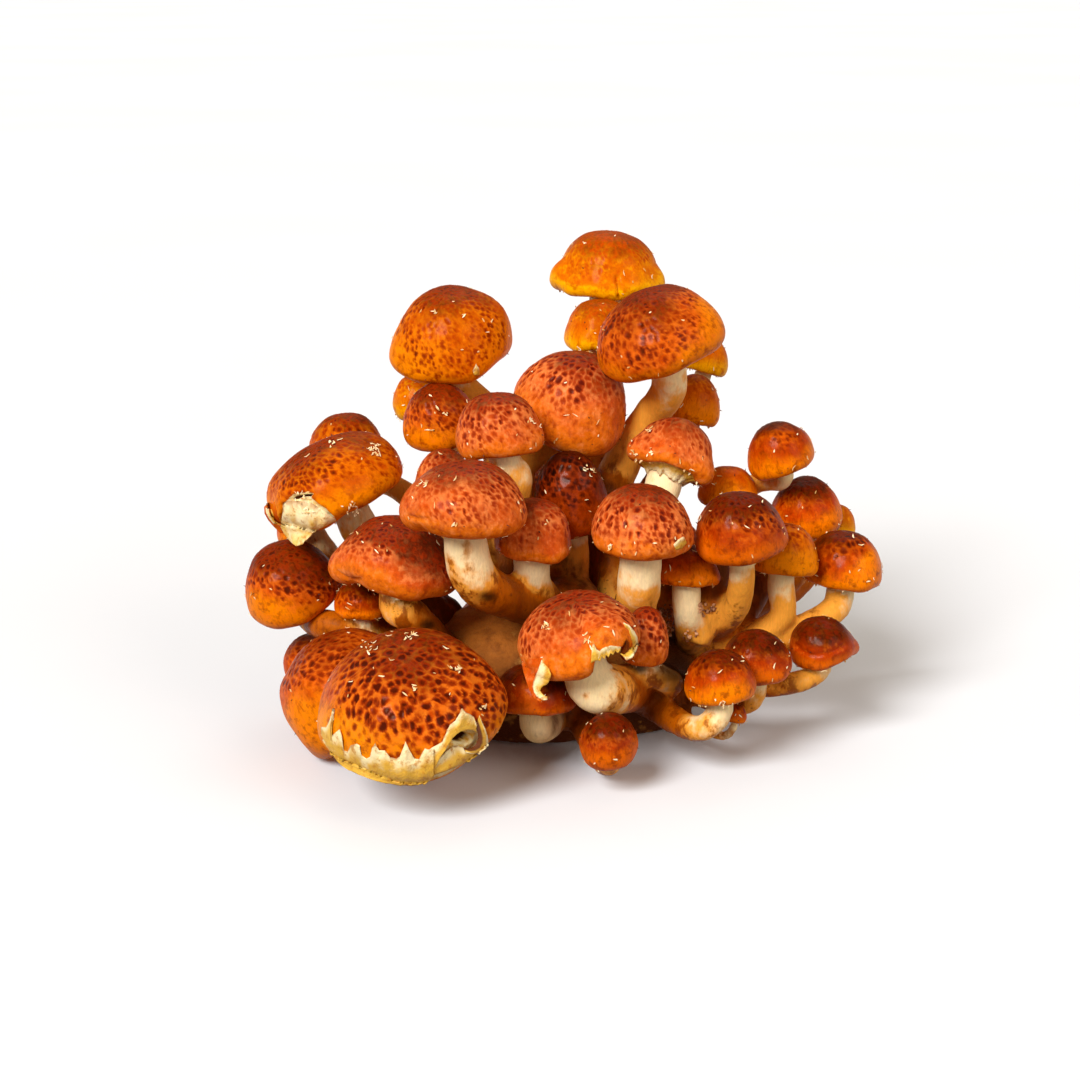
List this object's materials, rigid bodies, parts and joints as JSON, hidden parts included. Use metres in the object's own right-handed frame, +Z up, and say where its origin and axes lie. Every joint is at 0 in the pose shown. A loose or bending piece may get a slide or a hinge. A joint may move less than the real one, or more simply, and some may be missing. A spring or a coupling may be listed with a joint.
{
  "type": "chestnut mushroom cluster",
  "caption": "Natural clump of scaly chestnut mushrooms: domed glossy brown caps on pale curved stems that rise from one fused base, cut off flat to stand on a surface.",
  "frame": {"origin": "middle of the flat cut face under the fused base", "axes": "+Z up from the cut face, +X across the clump to the right as seen from the front, -Y towards the front"},
  "size_m": [0.1716, 0.1489, 0.1281],
  "materials": {
    "cap_amber": "glossy, moist cap skin, amber, with brown scales",
    "cap_chestnut": "glossy, moist cap skin, chestnut, with dark scales",
    "cap_brick": "glossy, moist cap skin, brick pink, with brown scales",
    "cap_dark": "glossy, moist cap skin, dark red brown",
    "stem": "satin cream stem flesh with brown stains and scales",
    "base": "satin brown fused flesh with crumbs of substrate"
  },
  "bodies": {
    "root": {"cap_top_peak": "cap_amber", "cap_top_under_peak": "cap_amber", "cap_top_small": "cap_amber", "cap_top_low": "cap_amber", "cap_upper_left_large": "cap_amber", "cap_upper_left_behind": "cap_amber", "cap_left_behind": "cap_amber", "cap_left_torn": "cap_amber", "cap_left_under": "cap_amber", "cap_left_outer": "cap_amber", "cap_front_left_outer": "cap_amber", "cap_front_left_tilted": "cap_amber", "cap_far_right_high": "cap_amber", "cap_far_right_hidden": "cap_amber", "cap_far_right_outer": "cap_amber", "cap_back_left": "cap_amber", "cap_back_middle": "cap_amber", "cap_back_low_right": "cap_amber", "cap_top_large": "cap_chestnut", "cap_upper_left_small": "cap_chestnut", "cap_upper_left_hidden": "cap_chestnut", "cap_front_left_largest": "cap_chestnut", "cap_front_flat": "cap_chestnut", "cap_front_lowest": "cap_chestnut", "cap_right_lifted": "cap_chestnut", "cap_right_round": "cap_chestnut", "cap_far_right_low": "cap_chestnut", "cap_far_right_behind": "cap_chestnut", "cap_far_right_ragged": "cap_chestnut", "cap_front_right_outer": "cap_chestnut", "cap_front_right_middle": "cap_chestnut", "cap_front_right_near": "cap_chestnut", "cap_front_right_pin": "cap_chestnut", "cap_back_right": "cap_chestnut", "cap_back_low_left": "cap_chestnut", "cap_back_corner": "cap_chestnut", "cap_middle_large": "cap_brick", "cap_middle_left": "cap_brick", "cap_middle_front": "cap_brick", "cap_middle_low": "cap_brick", "cap_front_left_high": "cap_brick", "cap_front_left_small": "cap_brick", "cap_front_left_sliver": "cap_brick", "cap_front_torn": "cap_brick", "cap_front_behind_torn": "cap_brick", "cap_right_front": "cap_brick", "cap_middle_bud": "cap_dark", "cap_right_under": "cap_dark", "stems_top": "stem", "stems_upper_left": "stem", "stems_middle": "stem", "stems_left": "stem", "stems_front_left": "stem", "stems_front": "stem", "stems_right": "stem", "stems_far_right": "stem", "stems_front_right": "stem", "stems_back": "stem", "base": "base"}
  },
  "joints": []
}
